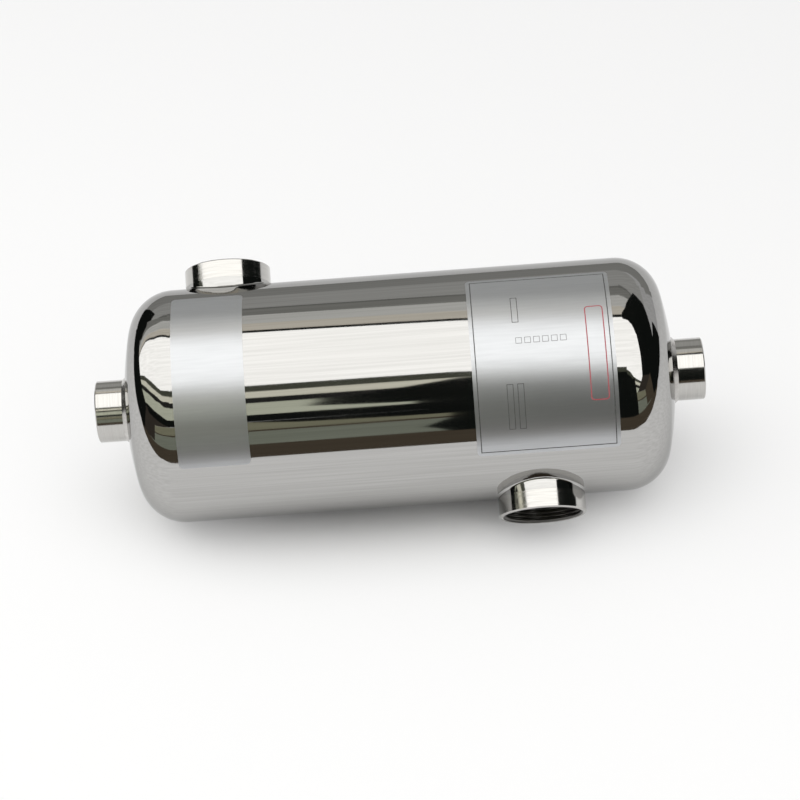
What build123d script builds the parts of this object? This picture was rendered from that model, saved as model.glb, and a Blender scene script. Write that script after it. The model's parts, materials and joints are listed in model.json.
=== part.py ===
"""Shell and tube heat exchanger, compact all-welded stainless steel type, lying on its side.

Millimetres, +Z up. The shell lies along X. The origin is on the floor under the middle of the
overall length, and -Y is the side that carries the labels. The part rests on the bottom of its
shell and on the rim of the lower side socket, and the angle of both side sockets follows from that.
"""
from build123d import *
from math import asin, atan2, cos, degrees, hypot, radians, sin, sqrt
import os

# Shell and heads
shell_diameter = 140.0
shell_wall = 2.0
barrel_length = 264.5
dish_radius = 205.0
knuckle_radius = 27.0
seam_turn = 1.75

# Side sockets, for 1 1/2 inch pipe, welded to short necks pulled out of the shell
side_socket_diameter = 51.8
side_bore_diameter = 44.84
side_socket_projection = 12.6
neck_rise = 1.5
neck_wall = 2.0
neck_base_fillet = 1.2
spigot_depth = 9.0
upper_socket_end_gap = 1.65
lower_socket_inset = 52.55

# End sockets, for 1 inch pipe, welded through the middle of each head
end_socket_diameter = 37.1
end_bore_diameter = 30.29
end_socket_projection = 17.5
end_socket_inside = 3.5
end_weld_leg = 2.2
socket_rim_chamfer = 0.6
thread_lead_in = 1.2

# Tube bundle
tube_diameter = 15.9
tube_wall = 0.9
tube_pitch = 20.6
tube_rings = 2
tube_projection = 1.2
tube_sheet_thickness = 5.0
baffle_thickness = 1.5
baffle_cut = 0.3
baffle_count = 2

# Labels, set in from the barrel's nearer end, and by height angle around the shell from the -Y side
label_thickness = 0.25
narrow_label_inset = 2.05
narrow_label_width = 42.0
narrow_label_angles = (8.2, 103.0)
wide_label_inset = 5.55
wide_label_width = 83.5
wide_label_angles = (2.9, 99.2)
label_corner_radius = 3.0

# Clearances
weld_fit = 0.05
weld_seat = 0.01
tube_fit = 0.1
baffle_fit = 0.4
label_bond = 0.02

# Sizes that follow
shell_radius = shell_diameter / 2
shell_bore_radius = shell_radius - shell_wall
head_depth = dish_radius - sqrt((dish_radius - knuckle_radius) ** 2 - (shell_radius - knuckle_radius) ** 2)
side_socket_radius = side_socket_diameter / 2
side_face_height = shell_radius + side_socket_projection
neck_height = shell_radius + neck_rise
neck_bore_radius = side_socket_radius - neck_wall
end_socket_radius = end_socket_diameter / 2
tube_radius = tube_diameter / 2
tube_length = barrel_length + 2 * tube_projection
barrel_end_x = barrel_length / 2
upper_socket_x = -(barrel_end_x - tube_sheet_thickness - upper_socket_end_gap - side_socket_radius)
lower_socket_x = barrel_end_x - lower_socket_inset
narrow_label_x = (narrow_label_inset - barrel_end_x, narrow_label_inset + narrow_label_width - barrel_end_x)
wide_label_x = (barrel_end_x - wide_label_inset - wide_label_width, barrel_end_x - wide_label_inset)

# The lower socket's rim touches the floor together with the shell, which sets the ports' angle
rim_height = side_face_height - socket_rim_chamfer
rim_reach = hypot(rim_height, side_socket_radius)
rest_angle = degrees(asin(shell_radius / rim_reach) - atan2(side_socket_radius, rim_height))
lower_port_angle = -rest_angle
upper_port_angle = 180 - rest_angle

shell_axis = Axis((0, 0, shell_radius), (1, 0, 0))


def section(x):
    """Plane across the shell at x, with the height angle measured from -Y and its normal along -X."""
    return Plane(origin=(x, 0, shell_radius), x_dir=(0, -1, 0), z_dir=(-1, 0, 0))


def port(x, angle, height=0.0):
    """Plane across a side port's axis at a height above the shell's axis, facing outwards."""
    outwards = Vector(0, -cos(radians(angle)), sin(radians(angle)))
    return Plane(origin=Vector(x, 0, shell_radius) + outwards * height, x_dir=(1, 0, 0), z_dir=outwards)


def end(side, x):
    """Plane across the shell's axis at a distance x from the middle, facing that end."""
    return Plane(origin=(side * x, 0, shell_radius), x_dir=(0, side, 0), z_dir=(side, 0, 0))


def head_section(side):
    """Plane along the shell's axis, with its origin at a head's rim and its x towards the crown."""
    across = Vector(0, -side * cos(radians(seam_turn)), -side * sin(radians(seam_turn)))
    return Plane(origin=(side * barrel_end_x, 0, shell_radius), x_dir=(side, 0, 0), z_dir=across)


def dish_arcs(wall):
    """Knuckle and dish, in tangent arcs, of the head's surface that lies a wall inside the outer one."""
    rim = (0, shell_radius - wall)
    crown = (head_depth - wall, 0)
    reach = (dish_radius - wall) / (dish_radius - knuckle_radius)
    dish_centre_x = head_depth - dish_radius
    tangent_point = (dish_centre_x * (1 - reach), (shell_radius - knuckle_radius) * reach)
    knuckle = TangentArc(rim, tangent_point, tangent=(1, 0))
    dish = TangentArc(tangent_point, crown, tangent=knuckle % 1)
    return rim, crown, knuckle, dish


def dish_surface(radius):
    """Distance of the head's outer surface from its rim, near the crown."""
    return head_depth - dish_radius + sqrt(dish_radius ** 2 - radius ** 2)


def tube_places():
    """Centres of the tubes in a section plane: a hexagon with a flat side towards each port."""
    turn = radians(lower_port_angle + 30)
    places = []
    for row in range(-tube_rings, tube_rings + 1):
        for step in range(-tube_rings, tube_rings + 1):
            if abs(row + step) > tube_rings:
                continue
            across = tube_pitch * (step + row / 2)
            up = tube_pitch * row * sqrt(3) / 2
            places.append((across * cos(turn) - up * sin(turn), across * sin(turn) + up * cos(turn)))
    return places


def write(piece, name):
    """Label a finished piece and write it under its own name."""
    piece.part.label = name
    export_step(piece.part, f"parts/{name}.step")


os.makedirs("parts", exist_ok=True)

# Shell barrel, with the two necks pulled out of it. Its seam and the heads' are turned a little, off
# the planes through the axis, which leaves a flat of the faceted shell under it, not an edge.
with BuildPart() as shell_barrel:
    with BuildSketch(section(barrel_end_x)):
        with Locations(Rotation(0, 0, seam_turn)):
            Circle(shell_radius)
    extrude(amount=barrel_length)
    for x, angle in ((upper_socket_x, upper_port_angle), (lower_socket_x, lower_port_angle)):
        with BuildSketch(port(x, angle)):
            Circle(side_socket_radius)
        extrude(amount=neck_height)
        saddle = shell_barrel.edges(Select.NEW).filter_by(
            lambda edge: edge.geom_type not in (GeomType.CIRCLE, GeomType.LINE)
        )
        fillet(saddle, neck_base_fillet)
    with BuildSketch(section(barrel_end_x)):
        with Locations(Rotation(0, 0, seam_turn)):
            Circle(shell_bore_radius)
    extrude(amount=barrel_length, mode=Mode.SUBTRACT)
    for x, angle in ((upper_socket_x, upper_port_angle), (lower_socket_x, lower_port_angle)):
        with BuildSketch(port(x, angle)):
            Circle(neck_bore_radius)
        extrude(amount=neck_height, mode=Mode.SUBTRACT)
write(shell_barrel, "shell_barrel")

# Side sockets: a plain round socket on the neck's edge, with a spigot inside the neck
for name, x, angle in (
    ("upper_side_socket", upper_socket_x, upper_port_angle),
    ("lower_side_socket", lower_socket_x, lower_port_angle),
):
    outwards = Axis((x, 0, shell_radius), port(x, angle).z_dir)
    with BuildPart() as side_socket:
        with BuildSketch(port(x, angle, neck_height + weld_fit)):
            Circle(side_socket_radius)
        extrude(amount=side_face_height - neck_height - weld_fit)
        with BuildSketch(port(x, angle, neck_height - spigot_depth)):
            Circle(neck_bore_radius - weld_fit)
        extrude(amount=spigot_depth + weld_fit)
        with BuildSketch(port(x, angle)):
            Circle(side_bore_diameter / 2)
        extrude(amount=side_face_height, mode=Mode.SUBTRACT)
        rim = side_socket.edges().group_by(outwards)[-1].sort_by(SortBy.RADIUS)[-1]
        chamfer(rim, socket_rim_chamfer)
        mouth = side_socket.edges().group_by(outwards)[-1].sort_by(SortBy.RADIUS)[0]
        chamfer(mouth, thread_lead_in)
    write(side_socket, name)

# Each end: dished head, tube sheet, socket through the crown and the weld round it
crown_x = barrel_end_x + head_depth
for name, side in (("left", -1), ("right", 1)):
    with BuildPart() as head:
        with BuildSketch(head_section(side)):
            with BuildLine():
                outer_rim, outer_crown, _, _ = dish_arcs(0)
                inner_rim, inner_crown, _, _ = dish_arcs(shell_wall)
                Line(outer_rim, inner_rim)
                Line(outer_crown, inner_crown)
            make_face()
        revolve(axis=shell_axis)
        with BuildSketch(end(side, barrel_end_x)):
            Circle(end_socket_radius + weld_fit)
        extrude(amount=head_depth + shell_wall, mode=Mode.SUBTRACT)
    write(head, f"{name}_head")

    with BuildPart() as tube_sheet:
        with BuildSketch(end(side, barrel_end_x - tube_sheet_thickness)):
            Circle(shell_bore_radius - weld_fit)
            with Locations(*[(-side * across, up) for across, up in tube_places()]):
                Circle(tube_radius + tube_fit, mode=Mode.SUBTRACT)
        extrude(amount=tube_sheet_thickness)
    write(tube_sheet, f"{name}_tube_sheet")

    face_x = crown_x + end_socket_projection
    inner_end_x = crown_x - shell_wall - end_socket_inside
    outwards = Axis((0, 0, shell_radius), (side, 0, 0))
    with BuildPart() as end_socket:
        with BuildSketch(end(side, inner_end_x)):
            Circle(end_socket_radius)
            Circle(end_bore_diameter / 2, mode=Mode.SUBTRACT)
        extrude(amount=face_x - inner_end_x)
        rim = end_socket.edges().group_by(outwards)[-1].sort_by(SortBy.RADIUS)[-1]
        chamfer(rim, socket_rim_chamfer)
        mouth = end_socket.edges().group_by(outwards)[-1].sort_by(SortBy.RADIUS)[0]
        chamfer(mouth, thread_lead_in)
    write(end_socket, f"{name}_end_socket")

    with BuildPart() as socket_weld:
        with BuildSketch(head_section(side)):
            with BuildLine():
                inner_radius = end_socket_radius + weld_seat
                foot_radius = inner_radius + end_weld_leg
                corner = (dish_surface(inner_radius) + weld_seat, inner_radius)
                foot = (dish_surface(foot_radius) + weld_seat, foot_radius)
                top = (corner[0] + end_weld_leg, inner_radius)
                Polyline(corner, foot, top, close=True)
            make_face()
        revolve(axis=shell_axis)
    write(socket_weld, f"{name}_socket_weld")

# Tubes, through both tube sheets
for number, place in enumerate(tube_places(), start=1):
    with BuildPart() as tube:
        with BuildSketch(section(tube_length / 2)):
            with Locations(place):
                Circle(tube_radius)
                Circle(tube_radius - tube_wall, mode=Mode.SUBTRACT)
        extrude(amount=tube_length)
    write(tube, f"tube_{number:02d}")

# Baffles, with windows on alternate sides, the first one away from the upper port
baffle_radius = shell_bore_radius - baffle_fit
window_distance = shell_bore_radius * (1 - 2 * baffle_cut)
baffle_spacing = (lower_socket_x - upper_socket_x) / (baffle_count + 1)
for number in range(1, baffle_count + 1):
    window_angle = lower_port_angle if number % 2 else upper_port_angle
    with BuildPart() as baffle:
        with BuildSketch(section(upper_socket_x + number * baffle_spacing + baffle_thickness / 2)):
            Circle(baffle_radius)
            with PolarLocations(window_distance, 1, start_angle=window_angle):
                window_size = (shell_diameter, 2 * shell_diameter)
                Rectangle(*window_size, align=(Align.MIN, Align.CENTER), mode=Mode.SUBTRACT)
            with Locations(*tube_places()):
                Circle(tube_radius + tube_fit, mode=Mode.SUBTRACT)
        extrude(amount=baffle_thickness)
    write(baffle, f"baffle_{number}")

# Labels, thin foil bonded round the shell
for name, (low_x, high_x), (low_angle, high_angle) in (
    ("narrow_label", narrow_label_x, narrow_label_angles),
    ("wide_label", wide_label_x, wide_label_angles),
):
    inner_radius = shell_radius + label_bond
    outer_radius = inner_radius + label_thickness
    with BuildPart() as label:
        with BuildSketch(section(high_x)):
            with BuildLine():
                inner_arc = CenterArc((0, 0), inner_radius, low_angle, high_angle - low_angle)
                outer_arc = CenterArc((0, 0), outer_radius, low_angle, high_angle - low_angle)
                Line(inner_arc @ 0, outer_arc @ 0)
                Line(inner_arc @ 1, outer_arc @ 1)
            make_face()
        extrude(amount=high_x - low_x)
        corners = label.edges().filter_by(lambda edge: edge.length < label_thickness * 1.5)
        fillet(corners, label_corner_radius)
    write(label, name)
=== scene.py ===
"""Looks for a compact stainless steel shell and tube heat exchanger, lying on a pale studio floor.

Metres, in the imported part's frame: the shell lies along X, its labels face -Y and the floor is z = 0.
"""

import json
import math

import bmesh
import bpy
from mathutils import Matrix, Vector


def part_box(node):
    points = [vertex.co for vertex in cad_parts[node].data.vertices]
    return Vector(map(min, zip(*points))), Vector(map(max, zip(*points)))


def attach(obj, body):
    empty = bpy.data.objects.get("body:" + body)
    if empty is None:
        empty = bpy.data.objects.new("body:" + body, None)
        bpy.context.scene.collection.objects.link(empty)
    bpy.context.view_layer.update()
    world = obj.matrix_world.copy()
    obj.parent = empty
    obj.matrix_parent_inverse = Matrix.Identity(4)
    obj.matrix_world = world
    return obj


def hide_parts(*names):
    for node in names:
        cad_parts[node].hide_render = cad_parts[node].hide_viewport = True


MM = 0.001

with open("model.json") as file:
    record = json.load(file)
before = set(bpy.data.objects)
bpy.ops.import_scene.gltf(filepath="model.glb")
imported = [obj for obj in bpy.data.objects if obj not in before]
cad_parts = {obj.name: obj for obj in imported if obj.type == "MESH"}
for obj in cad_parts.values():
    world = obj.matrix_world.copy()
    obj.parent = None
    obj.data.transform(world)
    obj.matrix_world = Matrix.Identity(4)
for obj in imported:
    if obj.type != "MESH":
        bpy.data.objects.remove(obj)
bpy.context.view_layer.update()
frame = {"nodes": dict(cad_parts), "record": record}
nodes = frame["nodes"]
ports = {mount["name"]: mount for mount in frame["record"]["mounts"]}

# Sizes read from the frame
head_low, head_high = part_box("left_head")
shell_radius = (head_high.z - head_low.z) / 2
label_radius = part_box("wide_label")[1].z - shell_radius

# The photograph's frame and camera
PICTURE_WIDTH = 800
PICTURE_CENTRE_Y = 400
AIM_PIXEL_Y = 390.1
SENSOR_WIDTH = 36.0
CAMERA_ELEVATION = math.radians(39.5)
CAMERA_TURN = math.radians(1.2)
CAMERA_ROLL = math.radians(-4.95)
CAMERA_DISTANCE = 1.680
CAMERA_CLIP_START = 0.01
PIXELS_PER_METRE = 1663

# Pipe threads, parallel, 11 turns to the inch
THREAD_PITCH = 2.309 * MM
THREAD_DEPTH = 1.3 * MM
RIM_CHAMFER = 0.6 * MM
LEAD_IN = 1.2 * MM
THREAD_START_SHARE = 0.4
THREAD_FLAT = 0.14
RUNOUT_TURNS = 1.5
THREAD_SEGMENTS = 144
ROWS_PER_TURN = 10

# Vertices nearer than this count as being at the same place
SAME_PLACE = 0.1 * MM

# Folds sharper than these angles stay crisp in smooth shading
SHARP_ANGLE = math.radians(32)
THREAD_SHARP_ANGLE = math.radians(24)


# Mesh helpers
def new_piece(name, mesh_data, material, place=Matrix.Identity(4), sharp_angle=SHARP_ANGLE):
    """Make a piece of the object from a bmesh, shade it smooth up to a fold angle and let it ride."""
    for face in mesh_data.faces:
        face.smooth = True
    for edge in mesh_data.edges:
        edge.smooth = len(edge.link_faces) == 2 and edge.calc_face_angle(0) < sharp_angle
    mesh = bpy.data.meshes.new(name)
    mesh_data.to_mesh(mesh)
    mesh_data.free()
    piece = bpy.data.objects.new(name, mesh)
    bpy.context.scene.collection.objects.link(piece)
    piece.matrix_world = place
    mesh.materials.append(material)
    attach(piece, "root")
    return piece


def ring_mesh(rows, segments):
    """Mesh a closed profile of rings; rows is a list of functions that give (radius, height) at an angle."""
    mesh_data = bmesh.new()
    rings = []
    for row in rows:
        ring = []
        for step in range(segments):
            angle = 2 * math.pi * step / segments
            radius, height = row(angle)
            ring.append(mesh_data.verts.new((radius * math.cos(angle), radius * math.sin(angle), height)))
        rings.append(ring)
    for low, high in zip(rings, rings[1:] + rings[:1]):
        for step in range(segments):
            after = (step + 1) % segments
            mesh_data.faces.new((low[step], low[after], high[after], high[step]))
    bmesh.ops.recalc_face_normals(mesh_data, faces=mesh_data.faces)
    return mesh_data


def plain_ring(radius, height):
    """A row of ring_mesh that is a true circle."""
    return lambda angle: (radius, height)


def along_axis(origin, axis):
    """Placement whose Z runs along an axis of the frame."""
    return Matrix.Translation(origin) @ axis.to_track_quat("Z", "Y").to_matrix().to_4x4()


# Shader helpers
def new_material(name, colour, metallic, roughness):
    """Material with a Principled shader; returns it with its node tree and shader."""
    material = bpy.data.materials.new(name)
    material.use_nodes = True
    tree = material.node_tree
    shader = tree.nodes["Principled BSDF"]
    shader.inputs["Base Color"].default_value = (*colour, 1)
    shader.inputs["Metallic"].default_value = metallic
    shader.inputs["Roughness"].default_value = roughness
    return material, tree, shader


def object_noise(tree, scale, stretch=(1, 1, 1), detail=2.0):
    """Noise over the object's own coordinates, with features of about 1 / scale metres."""
    coordinates = tree.nodes.new("ShaderNodeTexCoord")
    mapping = tree.nodes.new("ShaderNodeMapping")
    mapping.inputs["Scale"].default_value = stretch
    noise = tree.nodes.new("ShaderNodeTexNoise")
    noise.inputs["Scale"].default_value = scale
    noise.inputs["Detail"].default_value = detail
    tree.links.new(coordinates.outputs["Object"], mapping.inputs["Vector"])
    tree.links.new(mapping.outputs["Vector"], noise.inputs["Vector"])
    return noise.outputs["Fac"]


def remap(tree, value, before, after=(0, 1), interpolation="LINEAR"):
    """Carry a value from one range over to another."""
    node = tree.nodes.new("ShaderNodeMapRange")
    node.interpolation_type = interpolation
    node.inputs["From Min"].default_value, node.inputs["From Max"].default_value = before
    node.inputs["To Min"].default_value, node.inputs["To Max"].default_value = after
    tree.links.new(value, node.inputs["Value"])
    return node.outputs["Result"]


def spread(tree, noise, low, high):
    """Spread a noise value, which mostly lies between 0.3 and 0.7, over a range."""
    return remap(tree, noise, (0.3, 0.7), (low, high))


def tint(tree, value, first, second):
    """Mix two colours by a value from 0 to 1."""
    mix = tree.nodes.new("ShaderNodeMix")
    mix.data_type = "RGBA"
    mix.inputs["A"].default_value = (*first, 1)
    mix.inputs["B"].default_value = (*second, 1)
    tree.links.new(value, mix.inputs["Factor"])
    return mix.outputs["Result"]


def scaled_length(tree, vector, factors):
    """Length of a vector after each of its parts is multiplied by its factor."""
    scaled = tree.nodes.new("ShaderNodeVectorMath")
    scaled.operation = "MULTIPLY"
    scaled.inputs[1].default_value = factors
    tree.links.new(vector, scaled.inputs[0])
    length = tree.nodes.new("ShaderNodeVectorMath")
    length.operation = "LENGTH"
    tree.links.new(scaled.outputs["Vector"], length.inputs[0])
    return length.outputs["Value"]


def combine(tree, operation, first, second):
    """Join two values by a math operation."""
    node = tree.nodes.new("ShaderNodeMath")
    node.operation = operation
    tree.links.new(first, node.inputs[0])
    tree.links.new(second, node.inputs[1])
    return node.outputs["Value"]


def add_bump(tree, shader, height, distance):
    """Add a layer of bump to a shader, on top of any that it has."""
    bump = tree.nodes.new("ShaderNodeBump")
    bump.inputs["Distance"].default_value = distance
    bump.inputs["Strength"].default_value = 1.0
    tree.links.new(height, bump.inputs["Height"])
    below = shader.inputs["Normal"].links
    if below:
        tree.links.new(below[0].from_socket, bump.inputs["Normal"])
    tree.links.new(bump.outputs["Normal"], shader.inputs["Normal"])


# Materials
def polished_steel():
    """Mirror-polished sheet: long shallow waves from rolling, faint polish lines, patches of haze."""
    material, tree, shader = new_material("polished_steel", (0.455, 0.45, 0.44),
                                          metallic=1.0, roughness=0.05)
    shader.inputs["Specular Tint"].default_value = (0.72, 0.72, 0.72, 1)
    haze = object_noise(tree, scale=18, detail=4)
    waves = object_noise(tree, scale=22, stretch=(0.25, 1, 1), detail=1)
    lines = object_noise(tree, scale=700, stretch=(0.012, 1, 1), detail=3)
    tone = tint(tree, spread(tree, lines, 0, 1), (0.48, 0.475, 0.465), (0.425, 0.42, 0.41))
    tree.links.new(tone, shader.inputs["Base Color"])
    tree.links.new(spread(tree, haze, 0.03, 0.07), shader.inputs["Roughness"])
    add_bump(tree, shader, waves, 0.06 * MM)
    add_bump(tree, shader, lines, 0.0025 * MM)
    return material


def turned_steel(name, bore):
    """Lathe-turned and buffed socket: fine rings round its own Z axis; in the bore a dull cut thread,
    darkened further by painted shade.
    """
    material, tree, shader = new_material(name, (0.53, 0.52, 0.50), metallic=1.0, roughness=0.12)
    coordinates = tree.nodes.new("ShaderNodeTexCoord")
    radius = scaled_length(tree, coordinates.outputs["Object"], (1, 1, 0))
    thread_end, buffed_start = bore + THREAD_DEPTH, bore + THREAD_DEPTH * 1.15
    outside = remap(tree, radius, (thread_end, buffed_start))
    rings = object_noise(tree, scale=2200, stretch=(0.02, 0.02, 1), detail=3)
    shine = tree.nodes.new("ShaderNodeMix")
    shine.inputs["A"].default_value = 0.34
    tree.links.new(outside, shine.inputs["Factor"])
    tree.links.new(spread(tree, rings, 0.07, 0.15), shine.inputs["B"])
    tree.links.new(shine.outputs["Result"], shader.inputs["Roughness"])
    buffed = tint(tree, spread(tree, rings, 0, 1), (0.55, 0.54, 0.52), (0.49, 0.48, 0.46))
    # The bore's near-black base colour is partly the cut thread's dull finish and partly painted shade of
    # the recess; outside is 0 in the bore.
    tone = tree.nodes.new("ShaderNodeMix")
    tone.data_type = "RGBA"
    tone.inputs["A"].default_value = (0.17, 0.165, 0.155, 1)
    tree.links.new(outside, tone.inputs["Factor"])
    tree.links.new(buffed, tone.inputs["B"])
    tree.links.new(tone.outputs["Result"], shader.inputs["Base Color"])
    add_bump(tree, shader, rings, 0.003 * MM)
    return material


def brushed_steel(name, light, dark, low, high):
    """Plain mill finish, from light to dark and between two roughnesses."""
    material, tree, shader = new_material(name, light, metallic=1.0, roughness=(low + high) / 2)
    grain = object_noise(tree, scale=260, stretch=(0.15, 1, 1), detail=4)
    tree.links.new(spread(tree, grain, low, high), shader.inputs["Roughness"])
    tree.links.new(tint(tree, spread(tree, grain, 0, 1), light, dark), shader.inputs["Base Color"])
    add_bump(tree, shader, grain, 0.02 * MM)
    return material


def foil():
    """Satin silver label foil with a faint grain along the shell and slight bubbles."""
    material, tree, shader = new_material("label_foil", (0.53, 0.535, 0.545), metallic=0.9, roughness=0.3)
    grain = object_noise(tree, scale=700, stretch=(0.06, 1, 1), detail=3)
    bubbles = object_noise(tree, scale=45, detail=1)
    tone = tint(tree, spread(tree, grain, 0, 1), (0.535, 0.545, 0.56), (0.50, 0.51, 0.525))
    tree.links.new(tone, shader.inputs["Base Color"])
    tree.links.new(spread(tree, grain, 0.30, 0.335), shader.inputs["Roughness"])
    add_bump(tree, shader, bubbles, 0.03 * MM)
    add_bump(tree, shader, grain, 0.0008 * MM)
    return material


def ink(name, colour):
    """Printing ink on the foil, a little uneven."""
    material, tree, shader = new_material(name, colour, metallic=0.0, roughness=0.5)
    wear = object_noise(tree, scale=1500, detail=3)
    faded = tuple(channel * 0.6 + 0.12 for channel in colour)
    tree.links.new(tint(tree, spread(tree, wear, 0, 0.8), colour, faded), shader.inputs["Base Color"])
    tree.links.new(spread(tree, wear, 0.4, 0.6), shader.inputs["Roughness"])
    return material


steel = polished_steel()
side_socket_steel = turned_steel("side_socket_steel", ports["lower_side_port"]["dims"]["r_mm"] * MM)
end_socket_steel = turned_steel("end_socket_steel", ports["left_end_port"]["dims"]["r_mm"] * MM)
weld_steel = brushed_steel("weld_steel", (0.58, 0.57, 0.55), (0.48, 0.46, 0.44), 0.16, 0.28)
tube_steel = brushed_steel("tube_steel", (0.55, 0.54, 0.52), (0.42, 0.41, 0.39), 0.25, 0.45)
plate_steel = brushed_steel("plate_steel", (0.50, 0.49, 0.47), (0.38, 0.37, 0.35), 0.3, 0.5)
label_foil = foil()
dark_ink = ink("dark_ink", (0.03, 0.03, 0.03))
grey_ink = ink("grey_ink", (0.16, 0.16, 0.16))
red_ink = ink("red_ink", (0.42, 0.03, 0.05))

for node_name, node in nodes.items():
    if "head" in node_name or node_name == "shell_barrel":
        finish_material = steel
    elif "label" in node_name:
        finish_material = label_foil
    elif "weld" in node_name:
        finish_material = weld_steel
    elif node_name.startswith("tube_"):
        finish_material = tube_steel
    elif "side_socket" in node_name:
        finish_material = side_socket_steel
    elif "end_socket" in node_name:
        finish_material = end_socket_steel
    else:
        finish_material = plate_steel
    node.data.materials.clear()
    node.data.materials.append(finish_material)


# Threaded sockets, in place of the plain ones
def clamp(share):
    """Keep a share between 0 and 1."""
    return min(1.0, max(0.0, share))


def thread_cut(height, angle):
    """Depth of the thread at a place, from none at its crests to its full depth at its roots."""
    phase = (height / THREAD_PITCH - angle / (2 * math.pi)) % 1.0
    slope = abs(2 * phase - 1)
    return THREAD_DEPTH * clamp((slope - THREAD_FLAT) / (1 - 2 * THREAD_FLAT))


def thread_ring(bore, height, fade, flare):
    """A row of ring_mesh through the thread, which fades out inwards and opens into the lead-in."""
    return lambda angle: (bore + max(thread_cut(height, angle) * fade, flare), height)


def threaded_socket(node_name, port_name, material):
    """Pipe socket with a helical thread; heights run along the port's axis from the middle of the shell."""
    port = ports[port_name]
    bore = port["dims"]["r_mm"] * MM
    axis = Vector(port["axis"])
    origin = Vector(port["pos_m"])
    along_shell = abs(axis.x) > 0.5
    middle = Vector((0 if along_shell else origin.x, 0, shell_radius))
    origin -= axis * (origin - middle).dot(axis)

    # The plain socket's outline
    offsets = [vertex.co - middle for vertex in nodes[node_name].data.vertices]
    heights = [offset.dot(axis) for offset in offsets]
    radii = [(offset - axis * height).length for offset, height in zip(offsets, heights)]
    inner_end, face, outer = min(heights), max(heights), max(radii)
    spigot = max(radius for height, radius in zip(heights, radii) if height < inner_end + SAME_PLACE)
    shoulder = min(height for height, radius in zip(heights, radii) if radius > outer - SAME_PLACE)

    rows = []
    if shoulder > inner_end + SAME_PLACE:
        rows += [plain_ring(spigot, inner_end), plain_ring(spigot, shoulder)]
    rows += [plain_ring(outer, shoulder), plain_ring(outer, face - RIM_CHAMFER)]
    rows += [plain_ring(outer - RIM_CHAMFER, face), plain_ring(bore + LEAD_IN, face)]
    start = face - LEAD_IN * THREAD_START_SHARE
    count = int((start - inner_end) / THREAD_PITCH * ROWS_PER_TURN)
    for step in range(count + 1):
        height = start + (inner_end - start) * step / count
        fade = clamp((height - inner_end) / (THREAD_PITCH * RUNOUT_TURNS))
        flare = max(0.0, LEAD_IN - (face - height))
        rows.append(thread_ring(bore, height, fade, flare))
    piece = new_piece(f"{node_name}_threaded", ring_mesh(rows, THREAD_SEGMENTS), material,
                      along_axis(origin, axis), THREAD_SHARP_ANGLE)
    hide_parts(node_name)


for place, turned in (("upper_side", side_socket_steel), ("lower_side", side_socket_steel),
                      ("left_end", end_socket_steel), ("right_end", end_socket_steel)):
    threaded_socket(f"{place}_socket", f"{place}_port", turned)

# Printing on the wide label, a hair above the foil. Places along the shell are in millimetres, and heights
# are angles round the shell in degrees, up from its front.
INK_RISE = 0.015 * MM
INK_ARC_STEP = math.radians(1)
BORDER_INSET = 2.2
BORDER_LINE = 0.6
FIELD_WIDTH = 3.9
FIELD_LINE = 0.4
FIELD_INSETS_AND_ANGLES = ((25.2, (68.6, 83.4)), (19.3, (16.5, 38.5)), (25.5, (16.5, 38.5)))
SQUARE_COUNT = 6
SQUARE_INSET = 26.4
SQUARE_PITCH = 5.17
SQUARE_SIZE = 3.7
SQUARE_LINE = 0.3
SQUARE_ANGLES = (57.6, 60.7)
PANEL_INSETS = (16.0, 5.2)
PANEL_ANGLES = (28.0, 74.9)
PANEL_LINE = 0.65
PANEL_CORNER = 2.2
CORNER_STEPS = 6
SIDE_STEPS = 60


def print_point(mesh_data, x, angle):
    """Vertex on the ink's surface, at a place along the shell and a height angle in radians."""
    radius = label_radius + INK_RISE
    return mesh_data.verts.new((x * MM, -radius * math.cos(angle), shell_radius + radius * math.sin(angle)))


def print_bar(mesh_data, x_range, angle_range):
    """Thin printed bar that wraps the label, between two places along the shell and two height angles."""
    low_angle, high_angle = (math.radians(angle) for angle in angle_range)
    steps = max(1, math.ceil((high_angle - low_angle) / INK_ARC_STEP))
    rows = []
    for step in range(steps + 1):
        angle = low_angle + (high_angle - low_angle) * step / steps
        rows.append([print_point(mesh_data, x, angle) for x in x_range])
    for low, high in zip(rows, rows[1:]):
        mesh_data.faces.new((low[0], low[1], high[1], high[0]))


def print_frame(mesh_data, x_range, angle_range, line):
    """Printed rectangle outline; line is its width in millimetres."""
    turn = math.degrees(line * MM / label_radius)
    (left, right), (low, high) = x_range, angle_range
    print_bar(mesh_data, (left, left + line), angle_range)
    print_bar(mesh_data, (right - line, right), angle_range)
    print_bar(mesh_data, (left + line, right - line), (low, low + turn))
    print_bar(mesh_data, (left + line, right - line), (high - turn, high))


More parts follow.
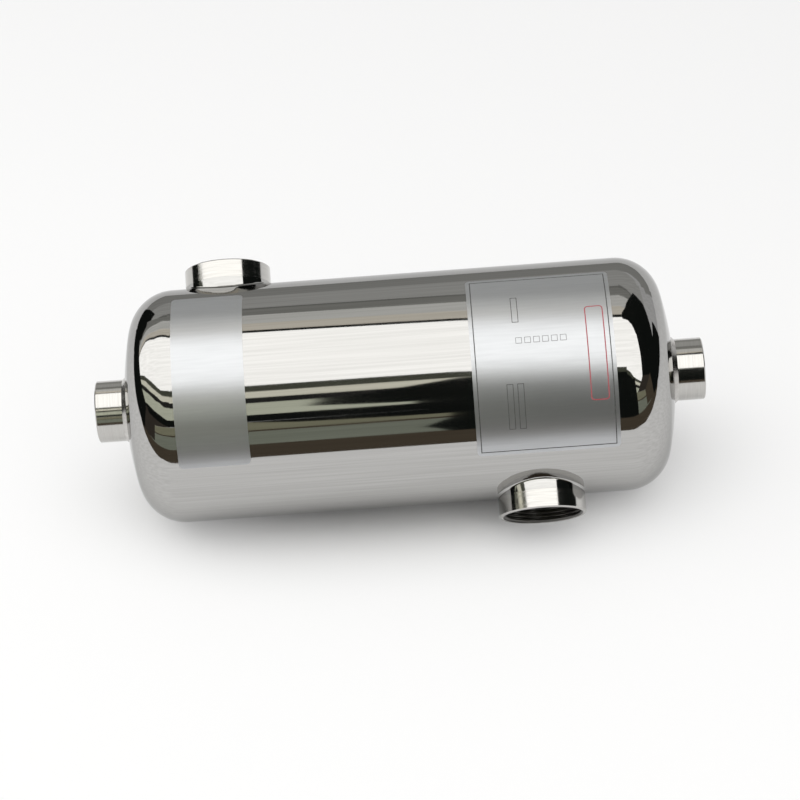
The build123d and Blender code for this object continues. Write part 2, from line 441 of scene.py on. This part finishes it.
def print_round_frame(mesh_data, x_range, angle_range, line, corner):
    """Printed outline with round corners, all in millimetres apart from the height angles."""
    degree = label_radius / MM * math.radians(1)
    middle_x, middle_angle = sum(x_range) / 2, sum(angle_range) / 2
    half_x = (x_range[1] - x_range[0]) / 2
    half_up = (angle_range[1] - angle_range[0]) / 2 * degree

    # Each corner's centre, and the direction in which the line lies from it
    outline = []
    for quarter, (sign_x, sign_up) in enumerate(((1, 1), (-1, 1), (-1, -1), (1, -1))):
        for step in range(CORNER_STEPS + 1):
            turn = math.pi / 2 * (quarter + step / CORNER_STEPS)
            outline.append((sign_x * (half_x - corner), sign_up * (half_up - corner), turn))

    # Points along the straight sides, so that they follow the curve of the label
    points = []
    for (x, up, turn), (next_x, next_up, _) in zip(outline, outline[1:] + outline[:1]):
        points.append((x, up, turn))
        if (next_x, next_up) != (x, up):
            for step in range(1, SIDE_STEPS):
                share = step / SIDE_STEPS
                points.append((x + (next_x - x) * share, up + (next_up - up) * share, turn))
    pairs = []
    for x, up, turn in points:
        pairs.append([print_point(mesh_data, middle_x + x + reach * math.cos(turn),
                                  math.radians(middle_angle + (up + reach * math.sin(turn)) / degree))
                      for reach in (corner, corner - line)])
    for first, second in zip(pairs, pairs[1:] + pairs[:1]):
        mesh_data.faces.new((first[0], second[0], second[1], first[1]))


def label_span(node_name):
    """Places along the shell and height angles, in millimetres and degrees, that a label covers."""
    low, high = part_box(node_name)
    angles = [math.degrees(math.atan2(vertex.co.z - shell_radius, -vertex.co.y))
              for vertex in nodes[node_name].data.vertices]
    return (low.x / MM, high.x / MM), (min(angles), max(angles))


(label_left, label_right), (label_low, label_high) = label_span("wide_label")

border = bmesh.new()
inset_turn = math.degrees(BORDER_INSET * MM / label_radius)
print_frame(border, (label_left + BORDER_INSET, label_right - BORDER_INSET),
            (label_low + inset_turn, label_high - inset_turn), BORDER_LINE)
new_piece("wide_label_border", border, dark_ink)

fields = bmesh.new()
for inset, angles in FIELD_INSETS_AND_ANGLES:
    print_frame(fields, (label_left + inset, label_left + inset + FIELD_WIDTH), angles, FIELD_LINE)
new_piece("wide_label_fields", fields, dark_ink)

squares = bmesh.new()
for number in range(SQUARE_COUNT):
    left = label_left + SQUARE_INSET + number * SQUARE_PITCH
    print_frame(squares, (left, left + SQUARE_SIZE), SQUARE_ANGLES, SQUARE_LINE)
new_piece("wide_label_squares", squares, grey_ink)

panel = bmesh.new()
panel_x = tuple(label_right - inset for inset in PANEL_INSETS)
print_round_frame(panel, panel_x, PANEL_ANGLES, PANEL_LINE, PANEL_CORNER)
new_piece("wide_label_panel", panel, red_ink)


# Studio: pale floor, overhead softbox and the dark room that the polished steel mirrors
def new_stage(name, corners, material, lights_scene=False, camera=False):
    """Flat card or floor that isn't part of the object."""
    mesh = bpy.data.meshes.new(name)
    mesh.from_pydata(corners, [], [list(range(len(corners)))])
    mesh.materials.append(material)
    card = bpy.data.objects.new(name, mesh)
    bpy.context.scene.collection.objects.link(card)
    card.visible_camera = camera
    card.visible_diffuse = lights_scene
    card.visible_shadow = lights_scene


def glow(name, colour, strength):
    """Even emission for a studio card."""
    material = bpy.data.materials.new(name)
    material.use_nodes = True
    tree = material.node_tree
    tree.nodes.clear()
    emission = tree.nodes.new("ShaderNodeEmission")
    emission.inputs["Color"].default_value = (*colour, 1)
    emission.inputs["Strength"].default_value = strength
    output = tree.nodes.new("ShaderNodeOutputMaterial")
    tree.links.new(emission.outputs["Emission"], output.inputs["Surface"])
    return material


def level(outline, height):
    """Corners of a level card; its outline is in places (x, y)."""
    return [(x, y, height) for x, y in outline]


def upright_card(name, y, outline, material):
    """Upright card across the view at a distance y; its outline is in places (x, z)."""
    new_stage(name, [(x, y, z) for x, z in outline], material)


def side_card(name, x, outline, material):
    """Upright card along the side of the room; its outline is in places (y, z)."""
    new_stage(name, [(x, y, z) for y, z in outline], material)


def box_outline(across, along):
    """Corners of a rectangle, from its range in the one direction and in the other."""
    (left, right), (low, high) = across, along
    return [(left, low), (right, low), (right, high), (left, high)]


CEILING = 1.0
LAYER = 0.01
UPPER_LAYER = CEILING + LAYER
LOWER_LAYER = CEILING + LAYER / 2
WALL_TOP = CEILING + 0.05
FRONT_WALL = -2.64
FRONT_WALL_LINE = 0.53
FRONT_WALL_UPPER = 0.60
BACK_WALL = 3.0
PAPER_EDGE = -0.33
DARK_FLOOR_END = -1.55
LEFT_FRONT_END = -0.9
RIGHT_FRONT_END = -1.2
RIGHT_BACK_END = 1.3
SIDE_REACH = 3.0
CEILING_RIGHT = 3.4
FRONT_STRIPS_END = -1.96
CARD_RISE = 1 * MM

# Plan outline of the softbox: its back and front edges, each from left to right
softbox_back = [(-3.25, 1.45), (-1.41, 0.82), (-0.74, 0.46), (-0.154, 0.294), (0.041, 0.230), (0.19, 0.07),
                (0.50, -0.02), (0.71, -0.18), (1.0, -0.54), (1.5, -1.3)]
softbox_front = [(-3.25, 0.60), (-1.86, 0.06), (-1.43, -0.16), (-0.94, -0.42), (-0.63, -0.60),
                 (-0.154, -0.683), (0.041, -0.70), (0.25, -0.95), (0.68, -1.3), (1.5, -1.6)]

black = glow("black_card", (0.85, 1.0, 0.9), 0.01)
soft_black = glow("soft_black_card", (1.0, 1.0, 0.95), 0.025)
olive_black = glow("olive_black_card", (0.95, 1.0, 0.75), 0.092)
brown = glow("brown_card", (1.0, 0.8, 0.57), 0.088)
green_grey = glow("green_grey_card", (0.93, 1.0, 0.81), 0.277)
dim_olive = glow("dim_olive_card", (1.0, 0.98, 0.68), 0.28)
pale_olive = glow("pale_olive_card", (0.96, 1.0, 0.80), 0.72)
light_olive = glow("light_olive_card", (1.0, 0.98, 0.82), 1.0)
dark_brown = glow("dark_brown_card", (1.0, 0.85, 0.7), 0.05)
olive = glow("olive_card", (1.0, 0.94, 0.82), 0.81)
light_grey = glow("light_grey_card", (1.0, 1.0, 0.96), 0.72)
mid_grey = glow("mid_grey_card", (1.0, 1.0, 0.97), 0.45)
grey = glow("grey_card", (1.0, 1.0, 0.96), 0.335)
dark_grey = glow("dark_grey_card", (1.0, 1.0, 0.94), 0.277)
line_grey = glow("line_grey_card", (1.0, 1.0, 0.94), 0.196)
softbox_glow = glow("softbox_glow", (1.0, 0.995, 0.975), 1.92)


def ceiling_strip(name, edge, near, far, material):
    """Strip on the ceiling that follows an edge of the softbox, from one distance behind it to another."""
    outline = [(x, y + near) for x, y in edge] + [(x, y + far) for x, y in reversed(edge)]
    new_stage(name, level(outline, UPPER_LAYER), material)


new_stage("softbox", level(softbox_back + softbox_front[::-1], CEILING), softbox_glow, lights_scene=True)

# Ceiling behind the softbox, then the back wall
for name, near, far, material in (
    ("back_line", 0, 0.05, black), ("back_olive", 0.05, 0.22, olive), ("back_light", 0.22, 0.49, light_grey),
    ("back_dark", 0.49, 0.77, dark_grey), ("back_shadow_line", 0.77, 0.84, line_grey),
    ("back_far", 0.84, BACK_WALL, mid_grey),
):
    ceiling_strip(name, softbox_back, near, far, material)
room_span = (-SIDE_REACH, SIDE_REACH)
upright_card("back_wall", BACK_WALL, box_outline(room_span, (0, WALL_TOP)), grey)
upright_card("back_left_black", 1.5, box_outline((-2.1, -0.85), (0, 0.9)), black)

# Ceiling in front of the softbox, then the front wall and the dark floor beyond the paper
for name, near, far, material in (
    ("front_strip_1", 0, -0.162, olive_black), ("front_strip_2", -0.162, -0.354, light_olive),
    ("front_strip_3", -0.354, -0.55, soft_black), ("front_strip_4", -0.55, -1.24, pale_olive),
    ("front_strip_5", -1.24, FRONT_STRIPS_END, black),
):
    ceiling_strip(name, softbox_front, near, far, material)
for name, low, high, material in (
    ("front_wall_top", FRONT_WALL_UPPER, CEILING, dim_olive),
    ("front_wall_line", FRONT_WALL_LINE, FRONT_WALL_UPPER, brown),
    ("front_wall_low", 0, FRONT_WALL_LINE, green_grey),
):
    upright_card(name, FRONT_WALL, box_outline(room_span, (low, high)), material)
for name, near, far, material in (("front_floor", PAPER_EDGE, DARK_FLOOR_END, brown),
                                  ("far_floor", DARK_FLOOR_END, FRONT_WALL, green_grey)):
    new_stage(name, level(box_outline(room_span, (near, far)), CARD_RISE), material)

# Dark cards beside the camera, on the front wall and in the front corners of the ceiling
upright_card("camera_side_shape", -1.35, [
    (-0.125, 0.885), (-0.12, 0.99), (0.75, 0.99), (0.75, 0.0), (0.03, 0.0), (0.02, 0.063), (0.004, 0.136),
    (0.03, 0.305), (0.033, 0.43), (0.0, 0.60), (-0.009, 0.80), (-0.03, 0.80), (-0.09, 0.85)], black)
new_stage("camera_side_shade", level([
    (-0.115, -1.24), (-0.06, -1.19), (-0.027, -1.06), (0.043, -0.865), (0.25, -1.10), (0.75, -1.50),
    (0.75, -1.7), (-0.12, -1.40)], LOWER_LAYER), black)
upright_card("front_wall_shade", FRONT_WALL + LAYER, [
    (-0.285, 1.0), (-0.207, 0.85), (-0.13, 0.80), (-0.051, 0.764), (0.035, 0.75), (0.8, 0.75), (0.8, 1.0)],
    black)
tip_x, tip_y = softbox_back[-1]
right_corner = box_outline((tip_x, CEILING_RIGHT), (tip_y, FRONT_WALL))
new_stage("front_right_ceiling", level(right_corner, UPPER_LAYER), dark_brown)
strip_ends = [(x, y + FRONT_STRIPS_END) for x, y in softbox_front[:5]]
wall_ends = [(strip_ends[-1][0], FRONT_WALL), (strip_ends[0][0], FRONT_WALL)]
new_stage("front_left_ceiling", level(strip_ends + wall_ends, UPPER_LAYER), dark_brown)

# Black flag on the ceiling at the right, and the sides of the room
flag_outline = softbox_back[5:] + [
    (CEILING_RIGHT, tip_y), (CEILING_RIGHT, 0.5), (1.4, 0.85), (0.75, 0.8), (0.38, 0.35)]
new_stage("right_black", level(flag_outline, LOWER_LAYER), black)
wall_span = (0, CEILING)
side_card("left_front", -SIDE_REACH, box_outline((FRONT_WALL, LEFT_FRONT_END), wall_span), dark_brown)
side_card("left_back", -SIDE_REACH, box_outline((LEFT_FRONT_END, BACK_WALL), wall_span), black)
side_card("right_front", SIDE_REACH, box_outline((FRONT_WALL, RIGHT_FRONT_END), wall_span), brown)
side_card("right_back", SIDE_REACH, box_outline((RIGHT_FRONT_END, RIGHT_BACK_END), wall_span), black)

# Floor. Its glow fades out towards the object, from the far to the near distance from the object's middle,
# so that the shadow under it stays. The squeeze makes distances along the shell count for less.
FLOOR_REACH = 15.0
FLOOR_DROP = 0.1 * MM
FLOOR_GLOW_SHARE = 0.6
SHADOW_SQUEEZE = 0.42
SHADOW_NEAR = 0.03
SHADOW_FAR = 0.11
WORLD_STRENGTH = 0.56


def floor_material():
    """Pale matt floor; away from the object, part of it glows white to the eye and to mirrors."""
    material, tree, shader = new_material("pale_floor", (0.93, 0.93, 0.93), metallic=0.0, roughness=0.9)
    shader.inputs["Specular IOR Level"].default_value = 0.0
    cloud = object_noise(tree, scale=3, detail=2)
    tree.links.new(tint(tree, cloud, (0.935, 0.935, 0.935), (0.925, 0.925, 0.925)),
                   shader.inputs["Base Color"])
    path = tree.nodes.new("ShaderNodeLightPath")
    seen = combine(tree, "MAXIMUM", path.outputs["Is Camera Ray"], path.outputs["Is Glossy Ray"])
    seen = combine(tree, "MAXIMUM", seen, path.outputs["Is Transmission Ray"])
    place = tree.nodes.new("ShaderNodeNewGeometry")
    distance = scaled_length(tree, place.outputs["Position"], (SHADOW_SQUEEZE, 1, 0))
    clear = remap(tree, distance, (SHADOW_NEAR, SHADOW_FAR), (0, FLOOR_GLOW_SHARE), "SMOOTHSTEP")
    white = tree.nodes.new("ShaderNodeEmission")
    white.inputs["Color"].default_value = (1, 1, 1, 1)
    white.inputs["Strength"].default_value = 1.0
    mix = tree.nodes.new("ShaderNodeMixShader")
    tree.links.new(combine(tree, "MULTIPLY", seen, clear), mix.inputs["Fac"])
    tree.links.new(shader.outputs["BSDF"], mix.inputs[1])
    tree.links.new(white.outputs["Emission"], mix.inputs[2])
    tree.links.new(mix.outputs["Shader"], tree.nodes["Material Output"].inputs["Surface"])
    return material


floor_span = (-FLOOR_REACH, FLOOR_REACH)
new_stage("floor", level(box_outline(floor_span, floor_span), -FLOOR_DROP), floor_material(),
          lights_scene=True, camera=True)

world = bpy.data.worlds.new("studio")
world.use_nodes = True
world.node_tree.nodes["Background"].inputs["Color"].default_value = (1.0, 1.0, 1.0, 1)
world.node_tree.nodes["Background"].inputs["Strength"].default_value = WORLD_STRENGTH
bpy.context.scene.world = world
bpy.context.scene.view_settings.view_transform = "Standard"


# Camera at the photograph's viewing angle
def place_camera():
    """Camera whose aim is the shell's axis at mid-length, a little above the middle of the frame."""
    cosine, sine = math.cos(CAMERA_ELEVATION), math.sin(CAMERA_ELEVATION)
    back = Vector((math.sin(CAMERA_TURN) * cosine, -math.cos(CAMERA_TURN) * cosine, sine))
    right = (-back).cross(Vector((0, 0, 1))).normalized()
    up = right.cross(-back)
    rolled_right = math.cos(CAMERA_ROLL) * right + math.sin(CAMERA_ROLL) * up
    rolled_up = math.cos(CAMERA_ROLL) * up - math.sin(CAMERA_ROLL) * right
    data = bpy.data.cameras.new("camera")
    data.sensor_width = SENSOR_WIDTH
    data.lens = PIXELS_PER_METRE * CAMERA_DISTANCE / PICTURE_WIDTH * SENSOR_WIDTH
    data.shift_y = (AIM_PIXEL_Y - PICTURE_CENTRE_Y) / PICTURE_WIDTH
    data.clip_start = CAMERA_CLIP_START
    camera = bpy.data.objects.new("camera", data)
    bpy.context.scene.collection.objects.link(camera)
    turn = Matrix((rolled_right, rolled_up, back)).transposed().to_4x4()
    camera.matrix_world = Matrix.Translation(Vector((0, 0, shell_radius)) + back * CAMERA_DISTANCE) @ turn
    bpy.context.scene.camera = camera


place_camera()
